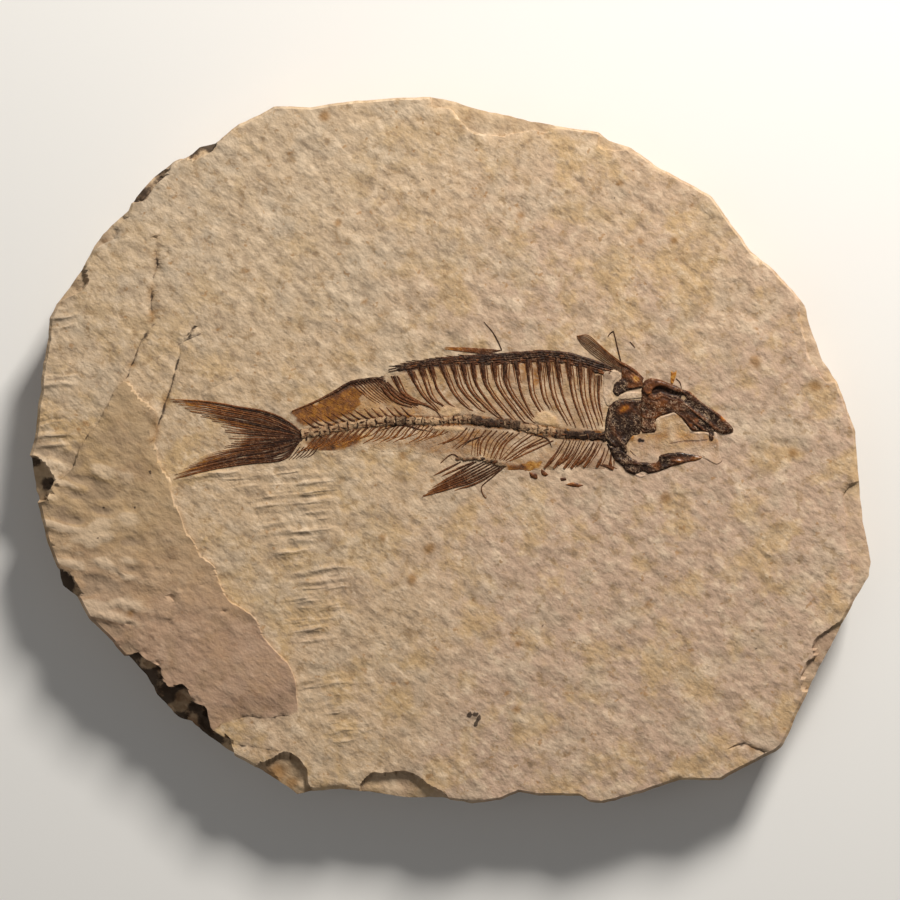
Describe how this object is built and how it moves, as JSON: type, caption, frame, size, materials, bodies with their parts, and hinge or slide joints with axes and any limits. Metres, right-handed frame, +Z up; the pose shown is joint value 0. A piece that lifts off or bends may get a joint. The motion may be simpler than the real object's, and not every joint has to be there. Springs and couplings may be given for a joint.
{
  "type": "fossil fish slab",
  "caption": "Flat slab of split limestone with a knapped edge and the flattened skeleton of a small fish on its upper face, lying on its back.",
  "frame": {"origin": "on the flat underside, below the middle of the slab's outline", "axes": "+Z up out of the face with the fish, +X along the slab's longest way, to the fish's snout, +Y across, to its belly"},
  "size_m": [0.165, 0.1386, 0.0132],
  "materials": {
    "limestone": "matte",
    "rib_bone": "satin",
    "scute_bone": "satin",
    "fin_bone": "satin",
    "head_bone": "satin",
    "chip_bone": "satin"
  },
  "bodies": {
    "root": {"slab": "limestone", "backbone": "rib_bone", "belly_scutes": "scute_bone", "tail_fin": "fin_bone", "dorsal_fin": "fin_bone", "pectoral_fin": "fin_bone", "pelvic_fin": "fin_bone", "anal_fin": "fin_bone", "loose_spine": "fin_bone", "skull": "head_bone", "gill_cover": "head_bone", "lower_jaw": "head_bone", "shoulder": "head_bone", "loose_chip_1": "chip_bone", "loose_chip_2": "chip_bone", "loose_chip_3": "chip_bone", "loose_chip_4": "chip_bone"}
  },
  "joints": []
}
